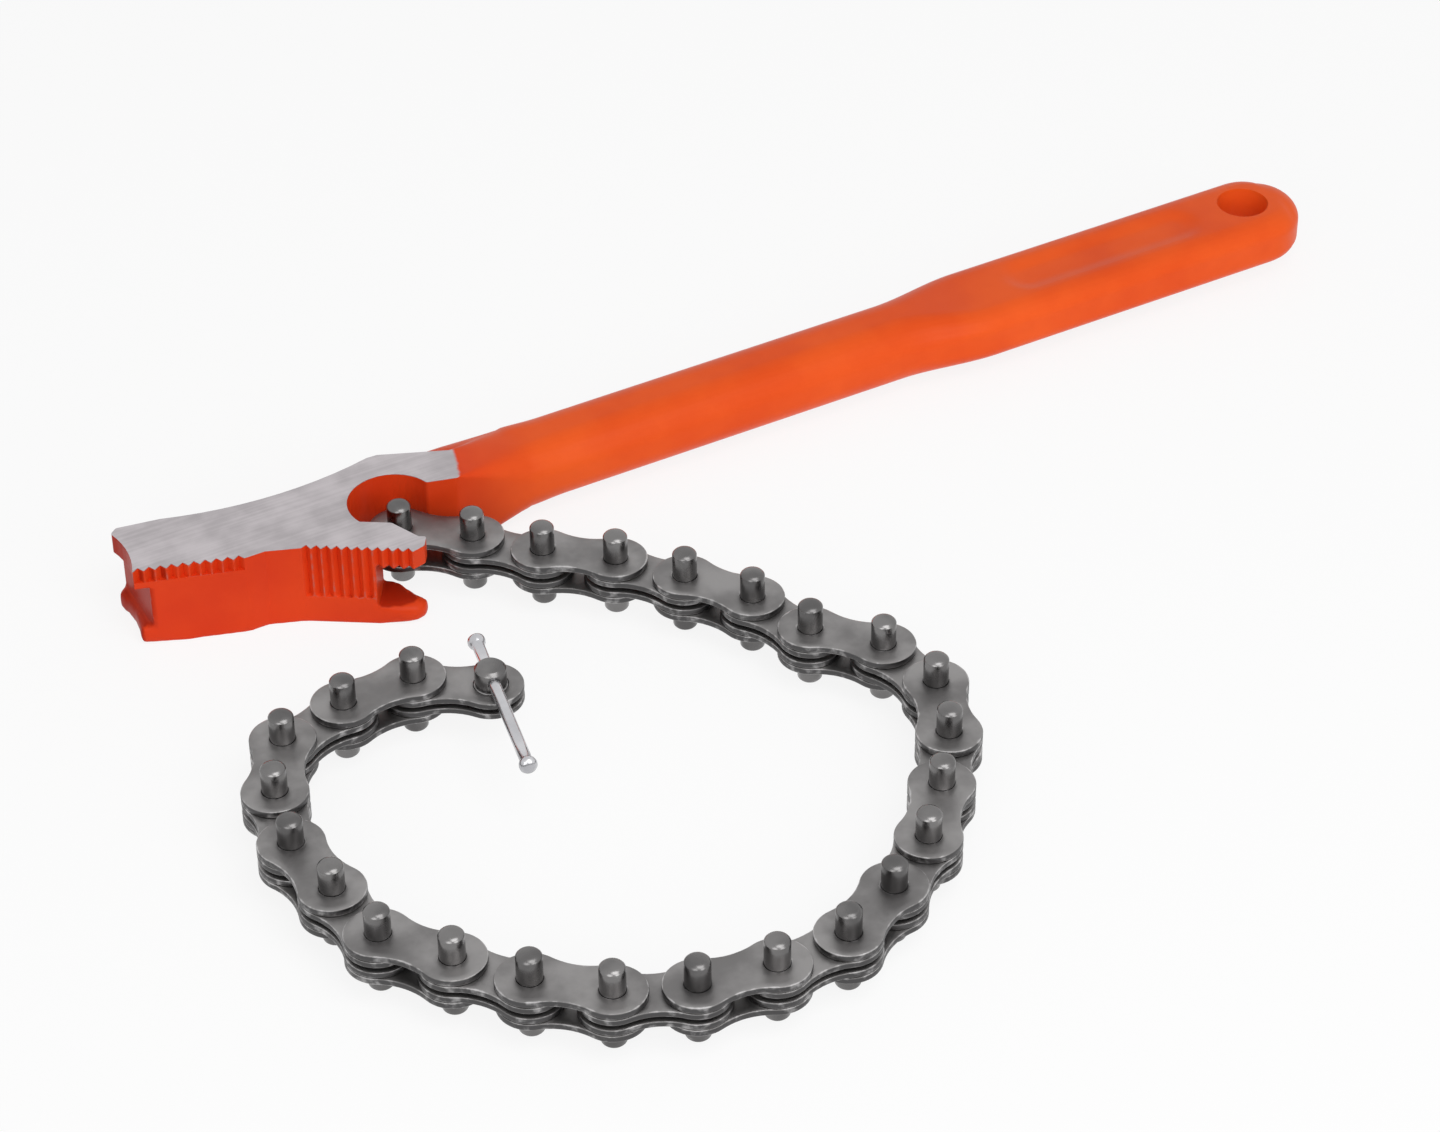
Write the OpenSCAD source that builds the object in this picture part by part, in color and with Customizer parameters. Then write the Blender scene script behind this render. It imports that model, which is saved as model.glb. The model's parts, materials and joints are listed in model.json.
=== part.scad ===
// Chain wrench: a forged handle with a toothed jaw and a hook throat, a pin chain that hangs in the
// throat by its first pin, and a sliding T-bar on the chain's free end. Millimetres.
// It lies flat: +X runs from the jaw to the handle's end, +Z is up and z = 0 is the surface below it.
// The origin is under the valley of the jaw, on the centre line of the handle.

/* [Head] */
// Thickness of the head
head_t = 20; // [17:0.5:24]
// Distance from the origin to the rounded part of the neck
head_end = 47; // [46:1:56]
// Thickness of the rounded part of the neck
neck_t = 16.5; // [15.5:0.5:19]
// Length of the left toothed land
left_land = 23.4; // [18:0.2:28]
// Slope of the left land, degrees below the handle line
left_slope = 18; // [14:1:22]
// Length of the right toothed land
right_land = 25.9; // [24:0.1:28]
// Slope of the right land, degrees below the handle line
right_slope = 32.7; // [30:0.1:35]
// Width of the horn end across the head
horn_w = 16; // [14:0.5:18]
// Hollow of the horn end, where a chain pin seats
horn_hollow = 1.6; // [1:0.1:2.2]
// Depth of the chain slot in the horn end
horn_slot = 3; // [2.5:0.5:5]
// Narrowest distance from the handle line to the scooped back edge of the head
neck_back = 4.4; // [3.5:0.1:6]
// Radius of the scooped back edge
scoop_r = 86; // [70:1:120]
// Thickness of the lip at its tip
lip_t = 5.2; // [4.5:0.1:6]
// Length of the chain slot in the lip
lip_slot = 10.4; // [9:0.2:10.6]
// Length of the thin end of the lip
lip_reach = 1.6; // [1:0.2:6]
// Radius of the throat round the first pin
throat_r = 9.6; // [9.2:0.1:9.8]
// Size of the cut corners at the tip of the lip and the back of the horn end
tip_cut = 2.2; // [1:0.1:2.6]

/* [Teeth] */
// Spacing of the teeth
tooth_pitch = 2.15; // [1.6:0.05:3]
// Depth of the teeth
tooth_depth = 1.1; // [0.6:0.1:1.5]
// Width of the flat on each tooth
tooth_flat = 0.3; // [0.2:0.05:0.6]
// Height of the teeth on the left land, from the upper face down
left_row = 3.2; // [2:0.2:5]
// Height of the teeth on the right land, from the upper face down
right_row = 13; // [8:0.5:16]

/* [Handle] */
// Length of the ramp from the head to the shank
ramp_len = 15; // [10:1:25]
// Length of the plain shank
shank_len = 94; // [60:1:160]
// Width of the shank
shank_w = 18.2; // [16:0.2:19]
// Thickness of the shank
shank_t = 15.2; // [13.4:0.2:15.4]
// Corner radius of the shank
shank_r = 6.6; // [4:0.1:6.6]
// Length of the flare from the shank to the grip
flare_len = 23; // [15:1:40]
// Length of the grip up to the centre of the hanging hole
grip_len = 74.5; // [70:0.5:120]
// Width of the grip
grip_w = 23.6; // [20:0.2:26]
// Thickness of the grip
grip_t = 12.6; // [11:0.2:15]
// Edge radius of the grip
grip_r = 3.8; // [2:0.1:5]
// Diameter of the hanging hole
hang_d = 12; // [8:0.5:12.5]
// Distance from the hanging hole to the centre of the round end
end_over = 2; // [0:0.5:4]
// Length of the sunk panel on each face of the grip
panel_len = 50; // [30:1:55]
// Width of the sunk panel
panel_w = 9; // [5:0.5:10]
// Depth of the sunk panel
panel_depth = 0.8; // [0.3:0.1:1.5]
// Distance from the start of the grip to the panel
panel_inset = 10; // [8:0.5:12]

/* [Chain] */
// Pitch of the chain
pitch = 15.875; // [15.5:0.125:16.5]
// Diameter of the pins
pin_d = 5.2; // [4.6:0.1:5.6]
// Length of the pins
pin_len = 20; // [18:0.5:24]
// Chamfer on the ends of the pins
pin_chamfer = 0.7; // [0.2:0.1:1]
// Radius of the round ends of the plates
plate_r = 6.8; // [6.2:0.1:7]
// Width of the plates at the waist
waist_w = 10.4; // [9:0.1:11]
// Thickness of an outer plate
outer_t = 1.5; // [1:0.1:2]
// Thickness of an inner plate
inner_t = 1.4; // [1:0.1:2]
// Gap between the two inner plates of a link
inner_gap = 1.2; // [0.6:0.1:2]
// Wall of the bushes
bush_wall = 0.95; // [0.6:0.05:1]

/* [T-bar] */
// Diameter of the bar
bar_d = 2.6; // [2:0.1:3]
// Length of the bar
bar_len = 43; // [36:1:60]
// Diameter of the upset ends of the bar
bead_d = 3.8; // [3.4:0.1:4.4]
// Length of the upset ends of the bar
bead_len = 2.4; // [2:0.1:4]
// How far the bar is slid through the stud
bar_shift = 9; // [0:0.5:9]
// Diameter of the stud's boss
boss_d = 6.6; // [5.8:0.1:7]
// Metal of the boss above the bar
boss_cap = 1.2; // [0.8:0.1:2]
// Diameter of the stud's foot
foot_d = 8; // [7:0.1:9]
// Thickness of the stud's foot
foot_t = 1.5; // [1:0.1:2]

/* [Clearances] */
// Radial play of a pin in its bush and of the bar in the stud
pin_play = 0.05; // [0.02:0.01:0.1]
// Side play between neighbouring plates
side_play = 0.15; // [0.1:0.05:0.3]
// Play of the chain in the slots of the head, each side
slot_play = 1.6; // [1.2:0.1:1.9]
// Play between the first link's round end and the lip
seat_play = 0.2; // [0.1:0.05:0.3]
// Play of the T-bar's ends over the last link
bar_play = 0.3; // [0.2:0.05:1]

/* [Hidden] */
$fn = 64;
tiny = 0.01;
through = 1;

// Heights. The pins and the head stand on the same surface.
chain_z = pin_len / 2;
handle_z = head_t / 2;
inner_w = 2 * inner_t + inner_gap;
outer_gap = inner_w + 2 * side_play;
chain_w = outer_gap + 2 * outer_t;
slot_h = chain_w + 2 * slot_play;
bush_d = pin_d + 2 * pin_play + 2 * bush_wall;

// Stations along the handle.
shank_x = head_end + ramp_len;
flare_x = shank_x + shank_len;
grip_x = flare_x + flare_len;
hang_x = grip_x + grip_len;

// Points of the head. The valley lies between the two lands.
left_end = [-8.3, -12.3];
valley = [-3.7, -12.3];
right_start = [3.2, -15];
horn_lean = 88;
horn_front = left_end + left_land * [-cos(left_slope), sin(left_slope)];
horn_back = horn_front + horn_w * [cos(horn_lean), sin(horn_lean)];
horn_mid = (horn_front + horn_back) / 2;
spur = [-18, 8.8];
scoop_x = 9;

// End of the ground faces, from the front of the neck to the shoulder at the back.
neck_front = [42.4, -9.2];
face_end = [45.6, 0.4];
shoulder = [31.2, 6.6];
face_root = [40, -3];
neck_root = [30, 5.5];
neck_r = 7;
root_w = 1;
root_t = 14;

// Throat. The first pin hangs at hook, and the mouth runs down to the right past the lip.
hook = [27.8, -11.1];
throat_shift = [-0.9, 1.2];
heel_shift = [-5, -3.8];
mouth_shift = [5.2, 4.5];
throat_at = hook + throat_shift;
heel = hook + heel_shift;
mouth_top = hook + mouth_shift;

// Waist of a plate: a flatter arc than the one that would run smoothly into the round ends.
waist_ease = 1.3;
smooth_r = (pow(pitch / 2, 2) + pow(waist_w / 2, 2) - pow(plate_r, 2)) / (2 * plate_r - waist_w);
waist_r = waist_ease * smooth_r;
waist_y = waist_w / 2 + waist_r;

// Lay of the chain, set by hand: the first link's heading, then clockwise turns in degrees at
// pins 2 to 26.
lay_start = -39;
lay_turns = [
    9, -7, 11, 4, 15, -22, 30, 33, 15, 4, 15, 8, 24,
    11, 15, 17, 10, 3, 28, 3, 18, 17, 45, 13, 34
];
links = len(lay_turns) + 1;

// Turn of the T-bar from the line of the last link, and its heights above the middle of the chain.
bar_turn = -70;
bar_z = inner_w / 2 + bar_play + bead_d / 2;
boss_z = inner_w / 2 + side_play;
boss_top = bar_z + bar_d / 2 + boss_cap;

function along(a) = [cos(a), sin(a)];
function on_lip(reach, depth) =
    right_start + reach * along(-right_slope) + depth * along(90 - right_slope);
function heading(i) = i == 1 ? lay_start : heading(i - 1) - lay_turns[i - 2];
function pin_at(i) = i == 1 ? hook : pin_at(i - 1) + pitch * along(heading(i - 1));
function is_outer(i) = i % 2 == 1;
function link_name(i) = str("link_", i < 10 ? "0" : "", i);
function plates_name(i) = str(link_name(i), is_outer(i) ? "_outer_plates" : "_inner_plates");
function rounds_name(i) = str(link_name(i), is_outer(i) ? "_pins" : "_bushes");

// Head in plan, before the throat and the teeth are cut. The mouth is open between the lip's heel
// and the neck.
module head_outline() {
    horn_line = along(horn_lean);
    horn_top = spur - horn_back;
    difference() {
        polygon([
            horn_front, left_end, valley, right_start, on_lip(right_land - tip_cut, 0),
            on_lip(right_land, tip_cut), on_lip(right_land, lip_t), on_lip(right_land - lip_reach, lip_t),
            heel, mouth_top, neck_front, face_end, shoulder, spur,
            horn_back + tip_cut * horn_top / norm(horn_top), horn_back - tip_cut * horn_line
        ]);
        translate([scoop_x, neck_back + scoop_r]) circle(scoop_r, $fn = 256);
        horn_seat();
    }
}

// Hollow end that a chain pin seats in.
module horn_seat() {
    seat_r = (pow(horn_w / 2, 2) + pow(horn_hollow, 2)) / (2 * horn_hollow);
    translate(horn_mid) rotate(horn_lean + 90)
        translate([seat_r - horn_hollow, 0]) circle(seat_r, $fn = 128);
}

// Open throat round the first pin, with a flat wall on the side of the lip.
module throat() {
    intersection() {
        translate(throat_at) circle(throat_r, $fn = 128);
        translate(hook) rotate(-right_slope)
            translate([-2 * throat_r, -plate_r - seat_play]) square(4 * throat_r);
    }
}

// Row of notches from one end of a land to the other.
module teeth(start, slope, len) {
    count = floor(len / tooth_pitch);
    step = len / count;
    reach = tooth_depth + through;
    half = (step - tooth_flat) / 2 * reach / tooth_depth;
    translate(start) rotate(-slope)
        for (i = [0 : count - 1])
            translate([(i + 0.5) * step, tooth_depth])
                polygon([[0, 0], [-half, -reach], [half, -reach]]);
}

// The teeth run down from the upper face, and the lands are smooth below them.
module tooth_rows() {
    translate([0, 0, head_t - left_row]) linear_extrude(left_row + through)
        teeth(horn_front, left_slope, left_land);
    translate([0, 0, head_t - right_row]) linear_extrude(right_row + through)
        teeth(right_start, right_slope, right_land - tip_cut);
}

// Slots that let the chain's plates pass the lip and the horn end.
module chain_slots() {
    translate([0, 0, chain_z - slot_h / 2]) linear_extrude(slot_h) {
        translate(on_lip(right_land, 0)) rotate(-right_slope)
            translate([-lip_slot, -through]) square([2 * lip_slot, 3 * lip_t]);
        translate(horn_mid) rotate(horn_lean - 90)
            translate([-horn_slot, -horn_w]) square([2 * horn_slot, 2 * horn_w]);
    }
}

module head() {
    difference() {
        linear_extrude(head_t) difference() {
            head_outline();
            throat();
        }
        tooth_rows();
        chain_slots();
    }
}

module round_box(w, t, r) {
    square([w, t - 2 * r], center = true);
    square([w - 2 * r, t], center = true);
    for (x = [-1, 1], y = [-1, 1])
        translate([x * (w / 2 - r), y * (t / 2 - r)]) circle(r, $fn = 32);
}

// Bar of the handle that starts at x, with a rounded upright section.
module bar(x, len, w, t, r) {
    translate([x, 0, handle_z]) rotate([90, 0, 90]) linear_extrude(len) round_box(w, t, r);
}

// Round end of the grip, with the same edge radius all round.
module grip_end() {
    translate([hang_x + end_over, 0, handle_z]) rotate_extrude() intersection() {
        round_box(grip_w, grip_t, grip_r);
        translate([0, -grip_t]) square([grip_w, 2 * grip_t]);
    }
}

// Neck: the ground faces run out in a ramp, and the back of the head swells into the round neck.
module neck() {
    hull() {
        linear_extrude(head_t) polygon([neck_front, face_end, face_root]);
        bar(shank_x, tiny, shank_w, shank_t, shank_r);
    }
    hull() {
        translate([neck_root.x, neck_root.y, handle_z]) cube([root_w, root_w, root_t], center = true);
        bar(head_end, tiny, shank_w, neck_t, neck_r);
    }
    hull() {
        bar(head_end, tiny, shank_w, neck_t, neck_r);
        bar(shank_x, tiny, shank_w, shank_t, shank_r);
    }
}

module handle() {
    neck();
    bar(shank_x, shank_len, shank_w, shank_t, shank_r);
    hull() {
        bar(flare_x, tiny, shank_w, shank_t, shank_r);
        bar(grip_x, tiny, grip_w, grip_t, grip_r);
    }
    bar(grip_x, grip_len + end_over, grip_w, grip_t, grip_r);
    grip_end();
}

// Sunk panels on both faces of the grip.
module grip_panels() {
    panel_r = panel_w / 2;
    for (side = [-1, 1])
        translate([grip_x + panel_inset, 0, handle_z + side * grip_t / 2])
            linear_extrude(2 * panel_depth, center = true) {
                translate([panel_r, 0]) circle(panel_r);
                translate([panel_len - panel_r, 0]) circle(panel_r);
                translate([panel_r, -panel_r]) square([panel_len - panel_w, panel_w]);
            }
}

module wrench_body() {
    color("orangered") difference() {
        union() {
            head();
            handle();
        }
        grip_panels();
        translate([hang_x, 0, handle_z]) cylinder(d = hang_d, h = grip_t + 2 * through, center = true);
    }
}

// Waisted plate from one pin to the next along +X, with its two holes.
module plate(t, hole_d) {
    linear_extrude(t, center = true) difference() {
        union() {
            for (x = [0, pitch]) translate([x, 0]) circle(plate_r);
            translate([0, -plate_r]) square([pitch, 2 * plate_r]);
        }
        for (side = [-1, 1]) translate([pitch / 2, side * waist_y]) circle(waist_r, $fn = 128);
        for (x = [0, pitch]) translate([x, 0]) circle(d = hole_d);
    }
}

// Places its children at link i, with +X from its first pin to the next.
module at_link(i) {
    translate([pin_at(i).x, pin_at(i).y, chain_z]) rotate(heading(i)) children();
}

module link_plates(i) {
    t = is_outer(i) ? outer_t : inner_t;
    gap = is_outer(i) ? outer_gap : inner_gap;
    color("dimgray") at_link(i)
        for (side = [-1, 1])
            translate([0, 0, side * (gap + t) / 2]) plate(t, is_outer(i) ? pin_d : bush_d);
}

module pin() {
    r = pin_d / 2;
    h = pin_len / 2;
    rotate_extrude() polygon([
        [0, -h], [r - pin_chamfer, -h], [r, pin_chamfer - h],
        [r, h - pin_chamfer], [r - pin_chamfer, h], [0, h]
    ]);
}

module bush() {
    difference() {
        cylinder(d = bush_d, h = inner_w, center = true);
        cylinder(d = pin_d + 2 * pin_play, h = inner_w + through, center = true);
    }
}

// The two pins of an outer link, or the two bushes of an inner link.
module link_rounds(i) {
    color(is_outer(i) ? "gray" : "darkgray") at_link(i)
        for (x = [0, pitch])
            translate([x, 0, 0])
                if (is_outer(i)) pin();
                else bush();
}

// Places its children at the last eye of the chain, with +X along the T-bar.
module at_end_eye() {
    at_link(links) translate([pitch, 0, 0]) rotate(bar_turn) children();
}

module end_stud() {
    color("gray") at_end_eye() difference() {
        rotate_extrude() polygon([
            [0, -boss_z - foot_t], [foot_d / 2, -boss_z - foot_t], [foot_d / 2, -boss_z],
            [pin_d / 2, -boss_z], [pin_d / 2, boss_z], [boss_d / 2, boss_z],
            [boss_d / 2, boss_top - pin_chamfer], [boss_d / 2 - pin_chamfer, boss_top], [0, boss_top]
        ]);
        translate([0, 0, bar_z]) rotate([0, 90, 0])
            cylinder(d = bar_d + 2 * pin_play, h = boss_d + through, center = true);
    }
}

// The bar lies along +X with an upset end at each side.
module t_bar() {
    r = bar_d / 2;
    bead_r = bead_d / 2;
    slope = bead_r - r;
    half = bar_len / 2;
    color("silver") at_end_eye()
        translate([bar_shift, 0, bar_z]) rotate([0, 90, 0]) rotate_extrude() polygon([
            [0, -half], [r, -half], [bead_r, slope - half], [bead_r, bead_len - slope - half],
            [r, bead_len - half], [r, half - bead_len], [bead_r, half - bead_len + slope],
            [bead_r, half - slope], [r, half], [0, half]
        ]);
}

wrench_body();
for (i = [1 : links]) {
    link_plates(i);
    link_rounds(i);
}
end_stud();
t_bar();
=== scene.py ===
import json
import math

import bmesh
import bpy
from mathutils import Matrix, Vector


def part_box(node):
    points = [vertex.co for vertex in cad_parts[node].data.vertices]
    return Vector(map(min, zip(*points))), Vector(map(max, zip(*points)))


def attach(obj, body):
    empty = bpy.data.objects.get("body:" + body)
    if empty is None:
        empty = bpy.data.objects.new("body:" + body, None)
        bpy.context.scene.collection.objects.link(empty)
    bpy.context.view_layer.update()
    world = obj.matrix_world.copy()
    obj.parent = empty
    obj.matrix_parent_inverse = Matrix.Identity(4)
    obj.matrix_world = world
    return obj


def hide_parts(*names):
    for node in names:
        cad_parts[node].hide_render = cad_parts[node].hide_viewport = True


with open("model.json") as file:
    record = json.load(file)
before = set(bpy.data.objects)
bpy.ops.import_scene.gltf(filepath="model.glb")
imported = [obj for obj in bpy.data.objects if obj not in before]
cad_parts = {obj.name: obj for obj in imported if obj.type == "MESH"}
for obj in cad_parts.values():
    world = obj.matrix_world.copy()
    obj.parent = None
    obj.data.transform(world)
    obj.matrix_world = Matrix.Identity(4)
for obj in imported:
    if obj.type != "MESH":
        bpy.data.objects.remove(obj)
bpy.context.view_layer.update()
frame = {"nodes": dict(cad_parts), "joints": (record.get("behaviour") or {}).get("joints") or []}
mm = 0.001  # the frame is in metres
weldGap = 0.001 * mm  # points nearer than this are one
flatBend = math.radians(0.5)  # faces that meet at less than this are joined
joints = {joint["name"]: joint for joint in frame["joints"]}
print("frame loaded:", len(frame["nodes"]), "nodes")


# Mesh helpers

def finishPiece(name, bm, material, body, slotName, *replaced):
    mesh = bpy.data.meshes.new(name)
    bm.to_mesh(mesh)
    bm.free()
    mesh.materials.append(material)
    piece = bpy.data.objects.new(name, mesh)
    bpy.context.scene.collection.objects.link(piece)
    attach(piece, body)
    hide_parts(*replaced)
    return piece


def keepMesh(name, bm):
    mesh = bpy.data.meshes.new(name)
    bm.to_mesh(mesh)
    bm.free()
    return mesh


def stampInto(bm, template, matrix):
    first = len(bm.verts)
    bm.from_mesh(template)
    bm.verts.ensure_lookup_table()
    bmesh.ops.transform(bm, matrix=matrix, verts=bm.verts[first:])


def shadeByAngle(bm, degrees):
    for face in bm.faces:
        face.smooth = True
    for edge in bm.edges:
        edge.smooth = edge.calc_face_angle(0.0) < math.radians(degrees)


def markWear(bm, fullBend):
    # outward bends get rubbed bright: 1 at a bend of fullBend degrees or more
    layer = bm.verts.layers.float.get("wear") or bm.verts.layers.float.new("wear")
    for vert in bm.verts:
        bend = max([edge.calc_face_angle_signed(0.0) for edge in vert.link_edges] or [0.0])
        vert[layer] = min(max(bend / math.radians(fullBend), 0.0), 1.0)


def bevelEdges(bm, edges, offset, segments):
    bmesh.ops.bevel(bm, geom=edges, offset=offset, offset_type="OFFSET", segments=segments, profile=0.5,
                    affect="EDGES", material=-1, clamp_overlap=True)


def spinProfile(bm, profile, steps):
    # profile points are (radius, height) in mm, turned round Z
    verts = [bm.verts.new((radius * mm, 0.0, height * mm)) for radius, height in profile]
    edges = [bm.edges.new(pair) for pair in zip(verts, verts[1:])]
    bmesh.ops.spin(bm, geom=verts + edges, cent=(0, 0, 0), axis=(0, 0, 1), dvec=(0, 0, 0),
                   angle=2 * math.pi, steps=steps, use_merge=True, use_duplicate=False)
    bmesh.ops.remove_doubles(bm, verts=bm.verts, dist=weldGap)
    bmesh.ops.recalc_face_normals(bm, faces=bm.faces)


# Shader helpers

def addNode(tree, kind, **settings):
    node = tree.nodes.new(kind)
    for key, value in settings.items():
        setattr(node, key, value)
    return node


def setInputs(node, **values):
    for key, value in values.items():
        node.inputs[key].default_value = value
    return node


def feedSockets(tree, sockets, values):
    # each value is a socket to link, or a constant
    for socket, value in zip(sockets, values):
        if isinstance(value, bpy.types.NodeSocket):
            tree.links.new(value, socket)
        elif value is not None:
            socket.default_value = value


def mathNode(tree, operation, first, second=None, clamp=False):
    node = addNode(tree, "ShaderNodeMath", operation=operation, use_clamp=clamp)
    feedSockets(tree, node.inputs, (first, second))
    return node.outputs[0]


def rampNode(tree, value, low, high):
    node = addNode(tree, "ShaderNodeMapRange", interpolation_type="SMOOTHSTEP")
    setInputs(node, **{"From Min": low, "From Max": high})
    tree.links.new(value, node.inputs["Value"])
    return node.outputs["Result"]


def mixColour(tree, factor, first, second):
    node = addNode(tree, "ShaderNodeMix", data_type="RGBA")
    feedSockets(tree, (node.inputs[0], node.inputs[6], node.inputs[7]), (factor, first, second))
    return node.outputs[2]


def mixValue(tree, factor, first, second):
    node = addNode(tree, "ShaderNodeMix", data_type="FLOAT")
    feedSockets(tree, (node.inputs[0], node.inputs[2], node.inputs[3]), (factor, first, second))
    return node.outputs[0]


def objectNoise(tree, coords, scale, detail, stretch=(1, 1, 1)):
    place = addNode(tree, "ShaderNodeMapping")
    place.inputs["Scale"].default_value = stretch
    tree.links.new(coords, place.inputs["Vector"])
    noise = setInputs(addNode(tree, "ShaderNodeTexNoise"), Scale=scale, Detail=detail)
    tree.links.new(place.outputs[0], noise.inputs["Vector"])
    return noise.outputs["Fac"]


def newGroup(name, inputs, outputs):
    tree = bpy.data.node_groups.new(name, "ShaderNodeTree")
    for socketName, value in inputs.items():
        socket = tree.interface.new_socket(socketName, in_out="INPUT", socket_type="NodeSocketFloat")
        socket.default_value = value
    for socketName in outputs:
        tree.interface.new_socket(socketName, in_out="OUTPUT", socket_type="NodeSocketFloat")
    start, end = addNode(tree, "NodeGroupInput"), addNode(tree, "NodeGroupOutput")
    return tree, start, end


def useGroup(tree, group, **values):
    node = addNode(tree, "ShaderNodeGroup", node_tree=group)
    return setInputs(node, **values)


def newMaterial(name, **plain):
    material = bpy.data.materials.new(name)
    material.use_nodes = True
    tree = material.node_tree
    shader = tree.nodes["Principled BSDF"]
    for key, value in plain.items():
        shader.inputs[key].default_value = value
    return material, tree, shader


def addBump(tree, shader, height, distance, strength):
    bump = setInputs(addNode(tree, "ShaderNodeBump"), Strength=strength, Distance=distance)
    tree.links.new(height, bump.inputs["Height"])
    tree.links.new(bump.outputs[0], shader.inputs["Normal"])


wearNoise = {"detail": 5.0, "range": (0.38, 0.62)}


def makeEdgeWear():
    # rubbed edges, broken up so that they come and go
    tree, start, end = newGroup("edgeWear", {"Amount": 0.5, "Breakup": 300.0}, ["Mask"])
    worn = addNode(tree, "ShaderNodeAttribute", attribute_name="wear").outputs["Fac"]
    coords = addNode(tree, "ShaderNodeTexCoord").outputs["Object"]
    noise = setInputs(addNode(tree, "ShaderNodeTexNoise"), Detail=wearNoise["detail"])
    tree.links.new(coords, noise.inputs["Vector"])
    tree.links.new(start.outputs["Breakup"], noise.inputs["Scale"])
    patchy = mathNode(tree, "MULTIPLY", worn, noise.outputs["Fac"])
    patches = rampNode(tree, patchy, *wearNoise["range"])
    mask = mathNode(tree, "MULTIPLY", patches, start.outputs["Amount"], clamp=True)
    tree.links.new(mask, end.inputs["Mask"])
    return tree


def makeMetalGrain():
    # broad mottling of the tone and a fine grain for bump and gloss
    scales = {"Mottle Scale": 90.0, "Grain Scale": 2500.0}
    tree, start, end = newGroup("metalGrain", scales, ["Mottle", "Grain"])
    coords = addNode(tree, "ShaderNodeTexCoord").outputs["Object"]
    for socketName, outName, detail in (("Mottle Scale", "Mottle", 4.0), ("Grain Scale", "Grain", 3.0)):
        noise = setInputs(addNode(tree, "ShaderNodeTexNoise"), Detail=detail)
        tree.links.new(coords, noise.inputs["Vector"])
        tree.links.new(start.outputs[socketName], noise.inputs["Scale"])
        tree.links.new(noise.outputs["Fac"], end.inputs[outName])
    return tree


edgeWear = makeEdgeWear()
metalGrain = makeMetalGrain()


# Finishes

steelGrain = {"tone": (0.32, 0.68), "breakup": 420.0, "relief": 0.05}  # mottle range, wear scale, bump in mm
chainSteel = {  # gloss is a pair of roughnesses, and rim is a darker tone painted on the plates' sides as shade
    "chainPlateSteel": {"dark": (0.178, 0.173, 0.172, 1), "light": (0.292, 0.284, 0.282, 1),
                        "rim": (0.085, 0.083, 0.084, 1), "worn": (0.55, 0.54, 0.54, 1),
                        "gloss": (0.34, 0.52), "wear": 0.8, "bump": 0.25},
    "chainPinSteel": {"dark": (0.115, 0.112, 0.112, 1), "light": (0.205, 0.200, 0.199, 1),
                      "worn": (0.5, 0.49, 0.49, 1),
                      "gloss": (0.20, 0.34), "wear": 0.85, "bump": 0.15},
    "bushSteel": {"dark": (0.10, 0.097, 0.097, 1), "light": (0.16, 0.155, 0.155, 1),
                  "worn": (0.4, 0.39, 0.39, 1),
                  "gloss": (0.3, 0.45), "wear": 0.5, "bump": 0.15},
    "brightBarSteel": {"dark": (0.46, 0.46, 0.48, 1), "light": (0.62, 0.62, 0.64, 1),
                       "worn": (0.8, 0.8, 0.8, 1),
                       "gloss": (0.16, 0.3), "wear": 0.4, "bump": 0.1},
}


def makeSteel(name):
    look = chainSteel[name]
    material, tree, shader = newMaterial(name, Metallic=1.0)
    grain = useGroup(tree, metalGrain)
    wear = useGroup(tree, edgeWear, Amount=look["wear"], Breakup=steelGrain["breakup"]).outputs["Mask"]
    tone = rampNode(tree, grain.outputs["Mottle"], *steelGrain["tone"])
    # rim: painted shade on the plates' sides, darker than the flats
    rim = addNode(tree, "ShaderNodeAttribute", attribute_name="rim").outputs["Fac"]
    colour = mixColour(tree, tone, look["dark"], look["light"])
    colour = mixColour(tree, rim, colour, look.get("rim", look["dark"]))
    colour = mixColour(tree, wear, colour, look["worn"])
    tree.links.new(colour, shader.inputs["Base Color"])
    tree.links.new(mixValue(tree, grain.outputs["Mottle"], look["gloss"][1], look["gloss"][0]),
                   shader.inputs["Roughness"])
    addBump(tree, shader, grain.outputs["Grain"], steelGrain["relief"] * mm, look["bump"])
    return material


paintLook = {
    "head": ((0.69, 0.043, 0.008, 1), (0.77, 0.059, 0.010, 1)),  # deep and light tone of the enamel; the head's pair is darker and redder, painted shade on the same enamel
    "handle": ((0.81, 0.084, 0.011, 1), (0.90, 0.113, 0.016, 1)),
    "headTo": 36.0, "handleFrom": 66.0,
    "chip": (0.22, 0.2, 0.19, 1),
    "paintedShade": (0.36, 0.016, 0.004, 1), "sheen": (0.12, 0.04),  # a dark red painted as shade, then the specular level of the paint and of the paint where that shade is painted
    "groundDark": (0.385, 0.360, 0.371, 1), "groundLight": (0.54, 0.506, 0.521, 1),
    "middle": 10.0, "groundFrom": 9.80, "groundTo": 9.93,  # ground beyond this distance from the middle, mm
    "ragged": 0.12,  # how far the edge of the ground face wanders, mm
    "raggedNoise": {"scale": 700.0, "detail": 3.0},
    "wear": 0.35, "wearBreakup": 380.0,
    "mottle": 45.0, "grain": 1100.0, "tone": (0.3, 0.7), "gloss": (0.28, 0.42),
    "lines": {"scale": 260.0, "detail": 6.0, "stretch": (0.12, 6.0, 1.0)},  # grinding marks along the head
    "cloud": {"scale": 120.0, "detail": 3.0}, "lineShare": 0.35, "streaks": (0.3, 0.7),
    "groundGloss": (0.46, 0.62),
    "relief": 0.06, "bump": 0.3,
}


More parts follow.
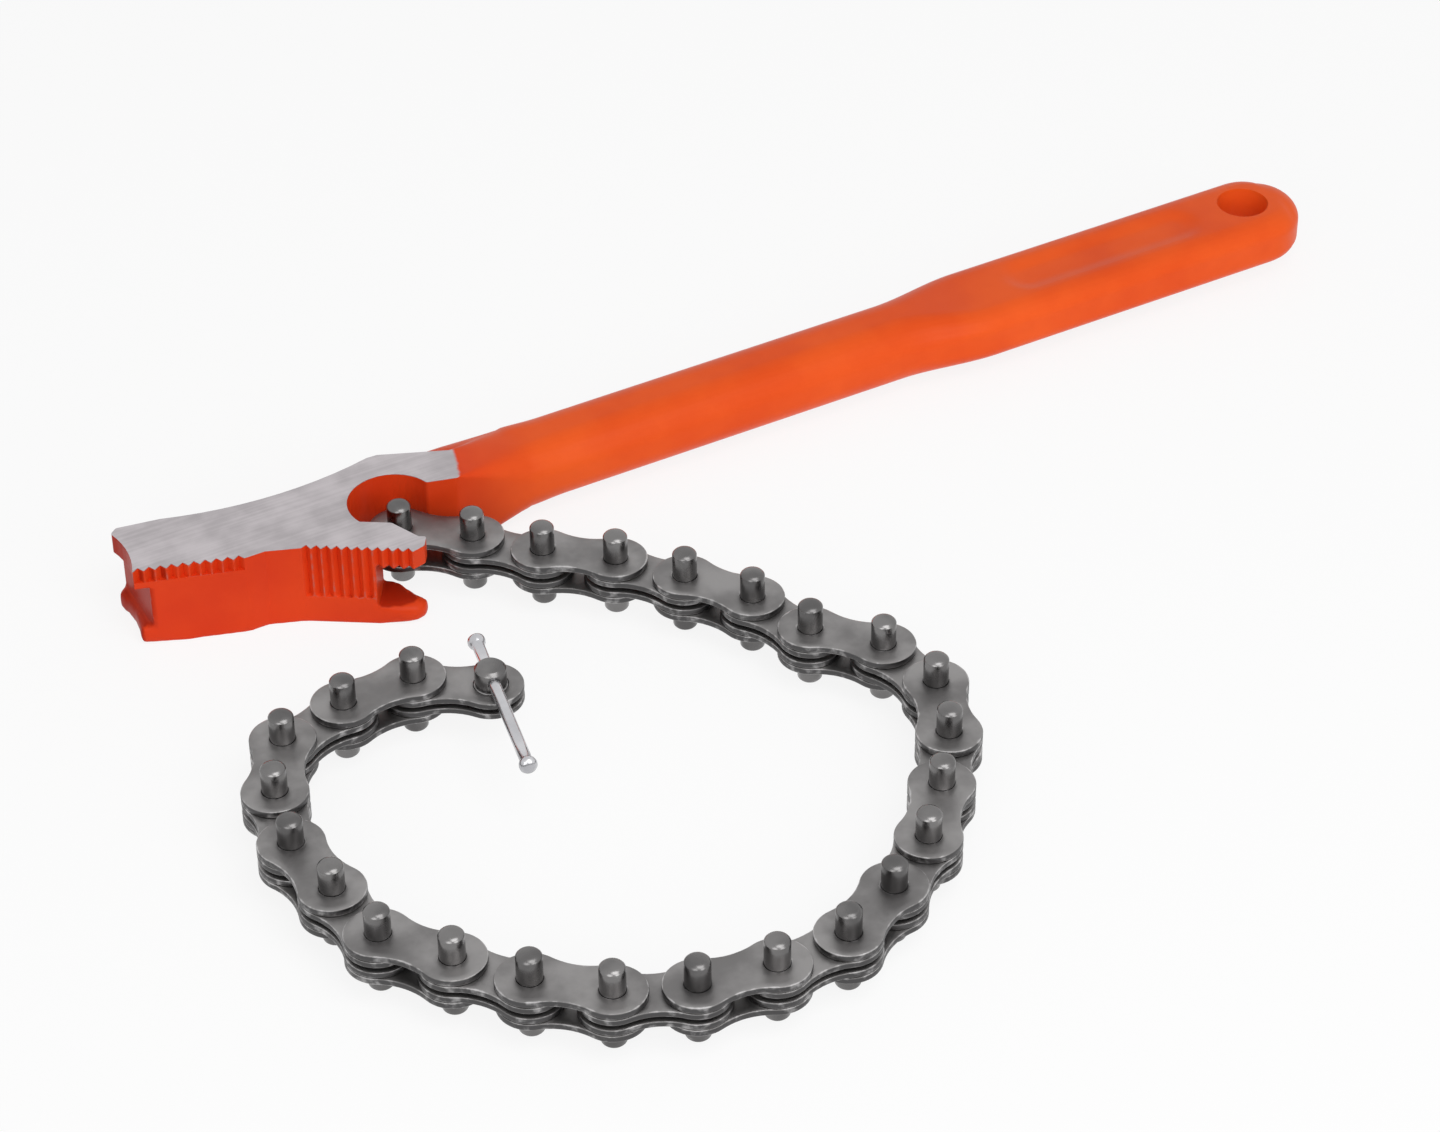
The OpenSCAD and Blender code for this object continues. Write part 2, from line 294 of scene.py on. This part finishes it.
def makeForgingPaint():
    # enamel on the forging, and bare ground steel on the two flat faces of the head
    material, tree, shader = newMaterial("forgingPaint")
    coords = addNode(tree, "ShaderNodeTexCoord").outputs["Object"]
    split = addNode(tree, "ShaderNodeSeparateXYZ")
    tree.links.new(coords, split.inputs[0])
    height = mathNode(tree, "SUBTRACT", split.outputs["Z"], paintLook["middle"] * mm)
    height = mathNode(tree, "ABSOLUTE", height)
    wander = paintLook["ragged"] * mm
    ragged = mathNode(tree, "MULTIPLY", objectNoise(tree, coords, **paintLook["raggedNoise"]), wander)
    ground = rampNode(tree, mathNode(tree, "ADD", height, mathNode(tree, "SUBTRACT", ragged, wander / 2)),
                      paintLook["groundFrom"] * mm, paintLook["groundTo"] * mm)
    scales = {"Mottle Scale": paintLook["mottle"], "Grain Scale": paintLook["grain"]}
    grain = useGroup(tree, metalGrain, **scales)
    worn = {"Amount": paintLook["wear"], "Breakup": paintLook["wearBreakup"]}
    wear = useGroup(tree, edgeWear, **worn).outputs["Mask"]
    tone = rampNode(tree, grain.outputs["Mottle"], *paintLook["tone"])
    # painted shade: the head's darker, redder tone fades into the handle's tone along the length
    along = rampNode(tree, split.outputs["X"], paintLook["headTo"] * mm, paintLook["handleFrom"] * mm)
    paint = mixColour(tree, along, *(mixColour(tree, tone, *paintLook[part]) for part in ("head", "handle")))
    # painted shade: a dark red is mixed in, and the paint is less specular, on the marked slot faces and horn
    # end
    paintedShade = addNode(tree, "ShaderNodeAttribute", attribute_name="paintedShade").outputs["Fac"]
    paint = mixColour(tree, paintedShade, paint, paintLook["paintedShade"])
    paint = mixColour(tree, wear, paint, paintLook["chip"])
    lines = objectNoise(tree, coords, **paintLook["lines"])
    cloud = objectNoise(tree, coords, **paintLook["cloud"])
    streaks = rampNode(tree, mixValue(tree, paintLook["lineShare"], cloud, lines), *paintLook["streaks"])
    steel = mixColour(tree, streaks, paintLook["groundDark"], paintLook["groundLight"])
    tree.links.new(mixColour(tree, ground, paint, steel), shader.inputs["Base Color"])
    tree.links.new(ground, shader.inputs["Metallic"])
    tree.links.new(mixValue(tree, paintedShade, *paintLook["sheen"]), shader.inputs["Specular IOR Level"])
    paintGloss = mixValue(tree, grain.outputs["Mottle"], *paintLook["gloss"])
    steelGloss = mixValue(tree, lines, *paintLook["groundGloss"])
    tree.links.new(mixValue(tree, ground, paintGloss, steelGloss), shader.inputs["Roughness"])
    relief = mixValue(tree, ground, grain.outputs["Grain"], lines)
    addBump(tree, shader, relief, paintLook["relief"] * mm, paintLook["bump"])
    return material


forgingPaint = makeForgingPaint()
plateSteel = makeSteel("chainPlateSteel")
pinSteel = makeSteel("chainPinSteel")
bushSteel = makeSteel("bushSteel")
barSteel = makeSteel("brightBarSteel")
print("finishes made")


# Forging: the head is the CAD head with its edges broken, and the handle is drawn out of its neck

forging = {
    "neck": 60.0,  # where the handle's loops start
    "weld": 0.0002, "sliver": 0.004,  # gaps closed before and after the cut at the neck
    "edge": 0.5, "edgeSteps": 3, "edgeBend": 50,
    "cornerEdge": 1.4, "cornerSteps": 4, "cornerBend": 30, "cornerRise": 3.0,  # upright corners
    "grid": (1.2, 0.8, 0.9), "gridStart": 0.37, "gridGap": 0.005,
    "lowSoft": {
        "full": 5.4, "fade": 7.2, "rounds": 6, "pull": 0.5, "fadePull": 0.2, "cornerReach": 9.0,
        "corners": [  # x, y and rounds
            (-30.5, -5.1, 16),  # front of the horn
            (24.6, -28.3, 30),  # tip of the lip
            (-27.1, 10.4, 8),  # back of the horn
        ],
    },
    "middle": 10.0,
    "neckThick": 15.6, "neckRound": (6.4, 6.4), "neckRun": 10.0,
    "softFrom": 46.5, "softTo": 50.0, "softRounds": 30, "softPull": 0.5, "softFadePull": 0.3,
    "shank": {"to": 156.0, "width": 18.2, "thick": 15.2, "round": (7.4, 6.6)},
    "grip": {"from": 179.0, "to": 255.5, "width": 23.6, "thick": 12.6, "round": (5.4, 4.2)},
    "loopSteps": {"neck": 1.0, "shank": 2.5, "swell": 1.2, "grip": 1.0},
    "endTurn": 5, "endLast": 88.5, "endShort": 0.03,  # loops of the round end: degrees apart, last, mm short
    "holePlace": 253.5, "hole": 6.0, "holeSteps": 64, "drill": 30.0,
    "holeEdge": 1.0, "holeEdgeSteps": 4, "holeBend": 45, "holeNear": 0.05,
    "panel": {"from": 189.0, "to": 239.0, "width": 9.0, "depth": 0.8, "soft": 4.4, "skin": 0.3},
    # where shade is painted: the hollow end of the horn and the faces of the two slots
    "paintedShade": {"hornTo": -24.0, "lipFrom": 10.0, "lipFront": -16.0, "slot": (4.4, 15.6),
              "facing": 0.5, "blend": 0.35, "amount": 0.85},
    "shade": 32, "wearBend": 55,
}
lands = [  # toothed lands: start, heading in degrees, length, depth
    ((-30.55, -5.07), -18.0, 23.4, 1.3),
    ((3.2, -15.0), -32.7, 23.7, 1.3),
]
landPlay = 0.1


def onLand(point):
    for (startX, startY), heading, length, depth in lands:
        turn = math.radians(heading)
        x, y = point.x / mm - startX, point.y / mm - startY
        along = x * math.cos(turn) + y * math.sin(turn)
        inward = y * math.cos(turn) - x * math.sin(turn)
        if -landPlay < along < length + landPlay and inward < depth:
            return True
    return False


def sharpEdges(bm, degrees):
    return [edge for edge in bm.edges
            if edge.calc_face_angle_signed(0.0) > math.radians(degrees)
            and any(vert.co.z > forging["lowSoft"]["full"] * mm for vert in edge.verts)
            and not all(onLand(vert.co) for vert in edge.verts)]


def cutHead():
    bm = bmesh.new()
    bm.from_mesh(frame["nodes"]["wrench_body"].data)
    bmesh.ops.remove_doubles(bm, verts=bm.verts, dist=forging["weld"] * mm)
    bmesh.ops.bisect_plane(bm, geom=bm.verts[:] + bm.edges[:] + bm.faces[:], dist=weldGap,
                           plane_co=(forging["neck"] * mm, 0, 0), plane_no=(1, 0, 0), clear_outer=True)
    bmesh.ops.remove_doubles(bm, verts=bm.verts, dist=forging["sliver"] * mm)
    bmesh.ops.dissolve_degenerate(bm, dist=forging["sliver"] * mm, edges=bm.edges)
    bmesh.ops.dissolve_limit(bm, angle_limit=flatBend, verts=bm.verts, edges=bm.edges)
    upright = [edge for edge in sharpEdges(bm, forging["cornerBend"])
               if abs(edge.verts[0].co.z - edge.verts[1].co.z) > forging["cornerRise"] * mm]
    bevelEdges(bm, upright, forging["cornerEdge"] * mm, forging["cornerSteps"])
    bevelEdges(bm, sharpEdges(bm, forging["edgeBend"]), forging["edge"] * mm, forging["edgeSteps"])
    low, high = (Vector(corner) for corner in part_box("wrench_body"))
    for axis, step in enumerate(forging["grid"]):
        place = low[axis] + forging["gridStart"] * step * mm
        while place < min(high[axis], forging["neck"] * mm):
            cut = Vector((0, 0, 0))
            cut[axis] = 1.0
            bmesh.ops.bisect_plane(bm, geom=bm.verts[:] + bm.edges[:] + bm.faces[:],
                                   dist=forging["gridGap"] * mm, plane_co=cut * place, plane_no=cut)
            place += step * mm
    softenLow(bm)
    softenNeck(bm)
    return bm


def easeVerts(bm, factor, wanted):
    verts = [vert for vert in bm.verts if wanted(vert.co / mm) and not vert.is_boundary]
    bmesh.ops.smooth_vert(bm, verts=verts, factor=factor, use_axis_x=True, use_axis_y=True, use_axis_z=True)


def softenLow(bm):
    # the lower horn, the lower prong of the lip and the lower edges are rounded, as a die leaves them
    soft, end = forging["lowSoft"], forging["softFrom"]
    full, fade = soft["full"], soft["fade"]
    for _ in range(soft["rounds"]):
        easeVerts(bm, soft["pull"], lambda place: place.z < full and place.x < end)
        easeVerts(bm, soft["fadePull"], lambda place: full <= place.z < fade and place.x < end)
    for x, y, rounds in soft["corners"]:
        for step in range(rounds):
            reach = soft["cornerReach"] * (step + 1) / rounds  # widens, so that the easing fades out
            easeVerts(bm, soft["pull"],
                      lambda place: place.z < full and math.hypot(place.x - x, place.y - y) < reach)


def softenNeck(bm):
    # the ramp and the swelling of the neck run into each other, so their creases are eased away
    low, high = forging["softFrom"], forging["softTo"]
    for _ in range(forging["softRounds"]):
        easeVerts(bm, forging["softPull"], lambda place: place.x > high)
        easeVerts(bm, forging["softFadePull"], lambda place: low < place.x <= high)


def blend(k, low, high):
    return low + (high - low) * k


def eased(x, low, high):
    k = min(max((x - low) / (high - low), 0.0), 1.0)
    return k * k * (3.0 - 2.0 * k)


def sectionAt(x):
    # half width, half thickness, and the two radii of the rounded corner, mm
    shank, grip = forging["shank"], forging["grip"]
    if x < shank["to"]:
        k = eased(x, forging["neck"], forging["neck"] + forging["neckRun"])
        cornerY, cornerZ = (blend(k, low, high) for low, high in zip(forging["neckRound"], shank["round"]))
        return shank["width"] / 2, blend(k, forging["neckThick"], shank["thick"]) / 2, cornerY, cornerZ
    if x < grip["to"]:
        k = eased(x, shank["to"], grip["from"])
        cornerY, cornerZ = (blend(k, low, high) for low, high in zip(shank["round"], grip["round"]))
        return (blend(k, shank["width"], grip["width"]) / 2, blend(k, shank["thick"], grip["thick"]) / 2,
                cornerY, cornerZ)
    halfWidth, halfThick, (cornerY, cornerZ) = grip["width"] / 2, grip["thick"] / 2, grip["round"]
    past = x - grip["to"]
    flat = halfWidth - cornerY
    side = math.sqrt(max(0.0, halfWidth ** 2 - past ** 2))
    flatSide = math.sqrt(max(0.0, flat ** 2 - past ** 2))
    rise = cornerZ * math.sqrt(max(0.0, 1.0 - (max(0.0, past - flat) / cornerY) ** 2))
    return side, halfThick - cornerZ + rise, side - flatSide, max(rise, 0.01)


def ontoSection(u, v, section):
    # from the unit square to the rounded section, along the ray from its middle
    halfWidth, halfThick, cornerY, cornerZ = section
    y, z = abs(u) * halfWidth, abs(v) * halfThick
    flatY, flatZ = halfWidth - cornerY, halfThick - cornerZ
    scale = 1.0
    if y > flatY and z > flatZ:
        a = (y / cornerY) ** 2 + (z / cornerZ) ** 2
        b = y * flatY / cornerY ** 2 + z * flatZ / cornerZ ** 2
        c = (flatY / cornerY) ** 2 + (flatZ / cornerZ) ** 2 - 1.0
        scale = min(1.0, (b + math.sqrt(max(0.0, b * b - a * c))) / a)
    return math.copysign(y * scale, u), math.copysign(z * scale, v)


def handleStations():
    shank, grip, steps = forging["shank"], forging["grip"], forging["loopSteps"]
    stops = [(forging["neck"] + forging["neckRun"], steps["neck"]), (shank["to"], steps["shank"]),
             (grip["from"], steps["swell"]), (grip["to"], steps["grip"])]
    stations, x = [], forging["neck"]
    for stop, step in stops:
        count = max(1, round((stop - x) / step))
        stations += [x + (stop - x) * (i + 1) / count for i in range(count)]
        x = stop
    reach = grip["width"] / 2 - forging["endShort"]
    turns = [*range(forging["endTurn"], 90, forging["endTurn"]), forging["endLast"]]
    return stations + [grip["to"] + reach * math.sin(math.radians(turn)) for turn in turns]


def drawHandle(bm):
    bm.verts.layers.float.new("u")
    bm.verts.layers.float.new("v")
    uLayer, vLayer = bm.verts.layers.float["u"], bm.verts.layers.float["v"]
    loop = [edge for edge in bm.edges if edge.is_boundary]
    rim = {vert for edge in loop for vert in edge.verts}
    halfWidth, halfThick = sectionAt(forging["neck"])[:2]
    for vert in rim:
        u = vert.co.y / mm / halfWidth
        v = (vert.co.z / mm - forging["middle"]) / halfThick
        size = max(abs(u), abs(v))
        vert[uLayer], vert[vLayer] = u / size, v / size
    for x in handleStations():
        grown = bmesh.ops.extrude_edge_only(bm, edges=loop)["geom"]
        loop = [item for item in grown if isinstance(item, bmesh.types.BMEdge)]
        loop = [edge for edge in loop if edge.is_boundary]
        section = sectionAt(x)
        for vert in {vert for edge in loop for vert in edge.verts}:
            y, z = ontoSection(vert[uLayer], vert[vLayer], section)
            vert.co = Vector((x, y, forging["middle"] + z)) * mm
    bmesh.ops.edgeloop_fill(bm, edges=loop)
    bmesh.ops.recalc_face_normals(bm, faces=bm.faces)


def sinkPanels(bm):
    panel, grip = forging["panel"], forging["grip"]
    half = panel["width"] / 2
    for vert in bm.verts:
        x, y, z = vert.co.x / mm, vert.co.y / mm, vert.co.z / mm - forging["middle"]
        if abs(z) < grip["thick"] / 2 - panel["skin"] or x < grip["from"]:
            continue
        nearest = min(max(x, panel["from"] + half), panel["to"] - half)
        inside = half - math.hypot(x - nearest, y)
        k = min(max(inside / panel["soft"] + 0.5, 0.0), 1.0)
        vert.co.z -= math.copysign(panel["depth"] * k * k * (3 - 2 * k), z) * mm


def drillHangHole(bm):
    centre, radius = Vector((forging["holePlace"], 0, forging["middle"])) * mm, forging["hole"] * mm
    drill = bmesh.new()
    bmesh.ops.create_cone(drill, cap_ends=True, segments=forging["holeSteps"], radius1=radius, radius2=radius,
                          depth=forging["drill"] * mm, matrix=Matrix.Translation(centre))
    tool = bpy.data.objects.new("drill", keepMesh("drill", drill))
    blank = bpy.data.objects.new("blank", keepMesh("blank", bm))
    for temporary in (tool, blank):
        bpy.context.scene.collection.objects.link(temporary)
    cut = blank.modifiers.new("cut", "BOOLEAN")
    cut.object, cut.operation, cut.solver = tool, "DIFFERENCE", "EXACT"
    dg = bpy.context.evaluated_depsgraph_get()
    result = bmesh.new()
    result.from_mesh(blank.evaluated_get(dg).to_mesh())
    for temporary in (blank, tool):
        mesh = temporary.data
        bpy.data.objects.remove(temporary)
        bpy.data.meshes.remove(mesh)
    bmesh.ops.remove_doubles(result, verts=result.verts, dist=2 * weldGap)
    bend, near = math.radians(forging["holeBend"]), forging["holeNear"] * mm
    rim = [edge for edge in result.edges if edge.calc_face_angle_signed(0.0) > bend
           and all(abs(math.hypot(vert.co.x - centre.x, vert.co.y) - radius) < near for vert in edge.verts)]
    bevelEdges(result, rim, forging["holeEdge"] * mm, forging["holeEdgeSteps"])
    return result


def markPaintedShade(bm):
    # painted shade: faces in the two chain slots and on the hollow end of the horn are darkened, as shade
    # falls there
    paintedShade = forging["paintedShade"]
    low, high = paintedShade["slot"]
    layer = bm.verts.layers.float.new("paintedShade")
    bm.normal_update()
    for vert in bm.verts:
        place, normal = vert.co / mm, vert.normal
        horn = place.x < paintedShade["hornTo"]
        lip = place.x > paintedShade["lipFrom"] and place.y < paintedShade["lipFront"]
        facing = 0.0
        if horn:
            facing = -normal.x
        if (horn or lip) and low < place.z < high:
            facing = max(facing, abs(normal.z))
        vert[layer] = paintedShade["amount"] * min(max((facing - paintedShade["facing"]) / paintedShade["blend"], 0.0), 1.0)


def makeForging():
    bm = cutHead()
    drawHandle(bm)
    sinkPanels(bm)
    bm = drillHangHole(bm)
    shadeByAngle(bm, forging["shade"])
    markWear(bm, forging["wearBend"])
    markPaintedShade(bm)
    return finishPiece("forging", bm, forgingPaint, "body", "paint", "wrench_body")


forgingPiece = makeForging()
print("forging made:", len(forgingPiece.data.polygons), "faces")


# Chain: waisted plates with rolled edges, long pins with crowned ends, bushes

linkPlate = {
    "pitch": 15.875, "endRadius": 6.8, "waist": 10.4, "steps": 48, "spokeCuts": 2, "mergeGap": 0.01,
    "edge": 0.26, "edgeSteps": 2, "edgeBend": 60, "shadedSideShare": 0.8, "shade": 40, "wearBend": 30,
    "outer": {"thick": 1.5, "gap": 4.3, "hole": 2.62},
    "inner": {"thick": 1.4, "gap": 1.2, "hole": 3.62},
}


def plateReach(angle):
    half, waist, radius = linkPlate["pitch"] / 2, linkPlate["waist"] / 2, linkPlate["endRadius"]
    arc = (half ** 2 + waist ** 2 - radius ** 2) / (2 * (radius - waist))
    across, along = abs(math.sin(angle)), math.cos(angle)
    if math.atan2(across, along) >= math.atan2(waist + arc, half):
        return radius
    towards = along * half + across * (waist + arc)
    gap = towards ** 2 - half ** 2 - (waist + arc) ** 2 + arc ** 2
    return min(half / along, towards - math.sqrt(gap) if gap > 0 else half / along)


def makePlate(kind):
    size = linkPlate[kind]
    pitch, steps = linkPlate["pitch"], linkPlate["steps"]
    corner = math.atan2(linkPlate["waist"], pitch)  # where the waist meets the middle of the plate
    bm = bmesh.new()
    rims = [bmesh.ops.create_circle(bm, cap_ends=False, segments=steps, radius=radius * mm)["verts"]
            for radius in (1.0, size["hole"])]
    for vert in rims[0]:
        angle = math.atan2(vert.co.y, vert.co.x)
        if abs(abs(angle) - corner) <= math.pi / steps:
            angle = math.copysign(corner, angle)
        reach = plateReach(angle)
        vert.co = Vector((reach * math.cos(angle), reach * math.sin(angle), 0)) * mm
    bmesh.ops.bridge_loops(bm, edges=bm.edges[:])
    spokes = [edge for edge in bm.edges if (edge.verts[0] in rims[0]) != (edge.verts[1] in rims[0])]
    bmesh.ops.subdivide_edges(bm, edges=spokes, cuts=linkPlate["spokeCuts"], use_grid_fill=True)
    bmesh.ops.translate(bm, verts=bm.verts, vec=(-pitch / 2 * mm, 0, 0))
    bmesh.ops.mirror(bm, geom=bm.verts[:] + bm.edges[:] + bm.faces[:], axis="X",
                     merge_dist=linkPlate["mergeGap"] * mm)
    bmesh.ops.translate(bm, verts=bm.verts, vec=(pitch / 2 * mm, 0, 0))
    bmesh.ops.recalc_face_normals(bm, faces=bm.faces)
    bmesh.ops.solidify(bm, geom=bm.faces[:], thickness=size["thick"] * mm)
    middle = (max(vert.co.z for vert in bm.verts) + min(vert.co.z for vert in bm.verts)) / 2
    bmesh.ops.translate(bm, verts=bm.verts, vec=(0, 0, -middle))
    bmesh.ops.recalc_face_normals(bm, faces=bm.faces)
    sharp = [edge for edge in bm.edges if edge.calc_face_angle(0.0) > math.radians(linkPlate["edgeBend"])]
    bevelEdges(bm, sharp, linkPlate["edge"] * mm, linkPlate["edgeSteps"])
    shadeByAngle(bm, linkPlate["shade"])
    markWear(bm, linkPlate["wearBend"])
    # the sides of the plate are marked to take the painted shade of the rim tone
    rim = bm.verts.layers.float.new("rim")
    shadedSideHeight = (size["thick"] / 2 - linkPlate["shadedSideShare"] * linkPlate["edge"]) * mm
    for vert in bm.verts:
        vert[rim] = float(abs(vert.co.z) < shadedSideHeight)
    return keepMesh(kind + "Plate", bm)


linkPin = {
    "radius": 2.6, "half": 10.0, "chamfer": 0.75, "crown": 0.22, "steps": 32,
    "rings": (-7.5, -4.0, 0.0, 4.0, 7.5), "shade": 50, "wearBend": 30,
}


def makePin():
    radius, half, chamfer, crown = (linkPin[key] for key in ("radius", "half", "chamfer", "crown"))
    shoulder = radius - chamfer
    # a rounded chamfer, then a low crown
    top = [(radius, half - chamfer - crown), (radius - 0.06, half - chamfer * 0.8 - crown),
           (radius - chamfer * 0.45, half - chamfer * 0.35 - crown), (shoulder, half - crown),
           (shoulder * 0.75, half - crown * 0.45), (shoulder * 0.4, half - crown * 0.1), (0.0, half)]
    body = [(radius, height) for height in linkPin["rings"]]
    profile = [(r, -height) for r, height in reversed(top)] + body + top
    bm = bmesh.new()
    spinProfile(bm, profile, linkPin["steps"])
    shadeByAngle(bm, linkPin["shade"])
    markWear(bm, linkPin["wearBend"])
    return keepMesh("longPin", bm)


linkBush = {"bore": 2.66, "radius": 3.6, "half": 2.0, "edge": 0.15, "steps": 32, "shade": 50, "wearBend": 45}


def makeBush():
    bore, radius, half, edge = (linkBush[key] for key in ("bore", "radius", "half", "edge"))
    profile = [(bore, half - edge), (bore + edge, half), (radius - edge, half), (radius, half - edge),
               (radius, edge - half), (radius - edge, -half), (bore + edge, -half), (bore, edge - half),
               (bore, half - edge)]
    bm = bmesh.new()
    spinProfile(bm, profile, linkBush["steps"])
    shadeByAngle(bm, linkBush["shade"])
    markWear(bm, linkBush["wearBend"])
    return keepMesh("bush", bm)


def makeChain():
    hinges = [Vector(joints["link_%02d_hinge" % i]["pos_m"]) for i in range(1, 27)]
    hinges.append(Vector(joints["end_stud_swivel"]["pos_m"]))
    templates = {"outer": makePlate("outer"), "inner": makePlate("inner")}
    pinMesh, bushMesh = makePin(), makeBush()
    for i, (start, end) in enumerate(zip(hinges, hinges[1:]), 1):
        link = "link_%02d" % i
        kind = "outer" if i % 2 else "inner"
        size = linkPlate[kind]
        along = end - start
        place = Matrix.Translation(start) @ Matrix.Rotation(math.atan2(along.y, along.x), 4, "Z")
        plates, rounds = bmesh.new(), bmesh.new()
        for side in (-1, 1):
            lift = Vector((0, 0, side * (size["gap"] + size["thick"]) / 2)) * mm
            turn = Matrix.Rotation(0 if side > 0 else math.pi, 4, "X")
            stampInto(plates, templates[kind], place @ Matrix.Translation(lift) @ turn)
        for x in (0.0, linkPlate["pitch"] * mm):
            spot = place @ Matrix.Translation((x, 0, 0))
            stampInto(rounds, pinMesh if kind == "outer" else bushMesh, spot)
        if kind == "outer":
            finishPiece(link + "_outerPlates", plates, plateSteel, link, "chain_plate",
                        link + "_outer_plates")
            finishPiece(link + "_longPins", rounds, pinSteel, link, "chain_pin", link + "_pins")
        else:
            finishPiece(link + "_innerPlates", plates, plateSteel, link, "chain_plate",
                        link + "_inner_plates")
            finishPiece(link + "_bushRings", rounds, bushSteel, link, "bush", link + "_bushes")


makeChain()
print("chain made")


# End stud and T-bar

endStud = {"edge": 0.25, "edgeSteps": 2, "edgeBend": 40, "shade": 40, "wearBend": 30}


def makeEndStud():
    bm = bmesh.new()
    bm.from_mesh(frame["nodes"]["end_stud"].data)
    bmesh.ops.remove_doubles(bm, verts=bm.verts, dist=weldGap)
    bmesh.ops.dissolve_limit(bm, angle_limit=flatBend, verts=bm.verts, edges=bm.edges)
    sharp = [edge for edge in bm.edges
             if edge.calc_face_angle_signed(0.0) > math.radians(endStud["edgeBend"])]
    bevelEdges(bm, sharp, endStud["edge"] * mm, endStud["edgeSteps"])
    shadeByAngle(bm, endStud["shade"])
    markWear(bm, endStud["wearBend"])
    finishPiece("endStud", bm, pinSteel, "end_stud", "chain_pin", "end_stud")


pullBar = {
    "radius": 1.3, "bead": 1.9, "beadLength": 2.4, "length": 43.0, "steps": 28,
    "rings": (-14.0, -7.0, 0.0, 7.0, 14.0), "shade": 50, "wearBend": 30,
}


def makePullBar():
    radius, bead, half = pullBar["radius"], pullBar["bead"], pullBar["length"] / 2
    inner = half - pullBar["beadLength"]
    # the bar swells into a bead and rounds off
    end = [(radius, inner - 0.2), (radius + 0.12, inner), (bead * 0.93, inner + 0.5), (bead, inner + 1.1),
           (bead * 0.97, half - 0.75), (bead * 0.8, half - 0.3), (bead * 0.45, half - 0.05), (0.0, half)]
    rod = [(radius, height) for height in pullBar["rings"]]
    profile = [(r, -height) for r, height in reversed(end)] + rod + end
    bm = bmesh.new()
    spinProfile(bm, profile, pullBar["steps"])
    low, high = (Vector(corner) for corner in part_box("t_bar"))
    along = Vector(joints["t_bar_slide"]["axis"])
    turn = Vector((0, 0, 1)).rotation_difference(along).to_matrix().to_4x4()
    bmesh.ops.transform(bm, matrix=Matrix.Translation((low + high) / 2) @ turn, verts=bm.verts)
    shadeByAngle(bm, pullBar["shade"])
    markWear(bm, pullBar["wearBend"])
    finishPiece("pullBar", bm, barSteel, "t_bar", "bright_bar", "t_bar")


makeEndStud()
makePullBar()
print("end stud and T-bar made")


# Floor, light and camera

studio = {
    "floorSize": 6.0, "floorColour": (0.93, 0.93, 0.93, 1), "floorGlow": 0.86, "worldLight": 0.4,
    "lamps": [  # place, target, size, power
        ((0.10, -0.55, 0.80), (0.10, -0.05, 0.0), 0.7, 3.4),
        ((-0.60, -0.70, 0.50), (0.08, -0.04, 0.0), 0.6, 2.0),
        ((0.20, -1.00, 0.42), (0.10, -0.05, 0.0), 0.5, 1.7),
    ],
}


def seenDirectly(tree):
    # 1 for rays from the camera and for reflections, so that both meet the same white
    rays = addNode(tree, "ShaderNodeLightPath").outputs
    seen = mathNode(tree, "MAXIMUM", rays["Is Camera Ray"], rays["Is Glossy Ray"])
    return mathNode(tree, "MAXIMUM", seen, rays["Is Transmission Ray"])


def makeStudio():
    world = bpy.data.worlds.new("studio")
    bpy.context.scene.world = world
    world.use_nodes = True
    tree = world.node_tree
    background = tree.nodes["Background"]
    background.inputs["Color"].default_value = (1, 1, 1, 1)
    strength = mixValue(tree, seenDirectly(tree), studio["worldLight"], 1.0)
    tree.links.new(strength, background.inputs["Strength"])

    bm = bmesh.new()
    bmesh.ops.create_grid(bm, x_segments=2, y_segments=2, size=studio["floorSize"] / 2)
    floor = bpy.data.objects.new("floor", keepMesh("floor", bm))
    bpy.context.scene.collection.objects.link(floor)
    material = bpy.data.materials.new("paleFloor")
    material.use_nodes = True
    tree = material.node_tree
    tree.nodes.clear()
    matt = setInputs(addNode(tree, "ShaderNodeBsdfDiffuse"), Color=studio["floorColour"])
    glow = setInputs(addNode(tree, "ShaderNodeEmission"), Color=(1, 1, 1, 1), Strength=1.0)
    both = addNode(tree, "ShaderNodeMixShader")
    tree.links.new(mathNode(tree, "MULTIPLY", seenDirectly(tree), studio["floorGlow"]), both.inputs[0])
    tree.links.new(matt.outputs[0], both.inputs[1])
    tree.links.new(glow.outputs[0], both.inputs[2])
    tree.links.new(both.outputs[0], addNode(tree, "ShaderNodeOutputMaterial").inputs["Surface"])
    floor.data.materials.append(material)

    for i, (place, target, size, power) in enumerate(studio["lamps"]):
        light = bpy.data.lights.new("softbox%d" % i, "AREA")
        light.shape, light.size, light.energy = "DISK", size, power
        lamp = bpy.data.objects.new(light.name, light)
        lamp.location = place
        lamp.rotation_euler = (Vector(target) - Vector(place)).to_track_quat("-Z", "Y").to_euler()
        bpy.context.scene.collection.objects.link(lamp)


view = {
    "place": (-0.2482, -0.6509, 0.5448), "ahead": (0.3812, 0.6891, -0.6163), "roll": -0.54,
    "lens": 102.4, "sensor": 36.0, "clip": (0.01, 50.0),
}


def makeCamera():
    data = bpy.data.cameras.new("camera")
    data.sensor_width, data.lens = view["sensor"], view["lens"]
    data.clip_start, data.clip_end = view["clip"]
    camera = bpy.data.objects.new("camera", data)
    ahead = Vector(view["ahead"]).normalized()
    right = ahead.cross(Vector((0, 0, 1))).normalized()
    up = right.cross(ahead)
    turn = math.radians(view["roll"])
    sideways = right * math.cos(turn) + up * math.sin(turn)
    upwards = up * math.cos(turn) - right * math.sin(turn)
    facing = Matrix((sideways, upwards, -ahead)).transposed().to_4x4()
    camera.matrix_world = Matrix.Translation(view["place"]) @ facing
    bpy.context.scene.collection.objects.link(camera)
    bpy.context.scene.camera = camera


makeStudio()
makeCamera()
bpy.context.scene.view_settings.view_transform = "Standard"
print("studio made")
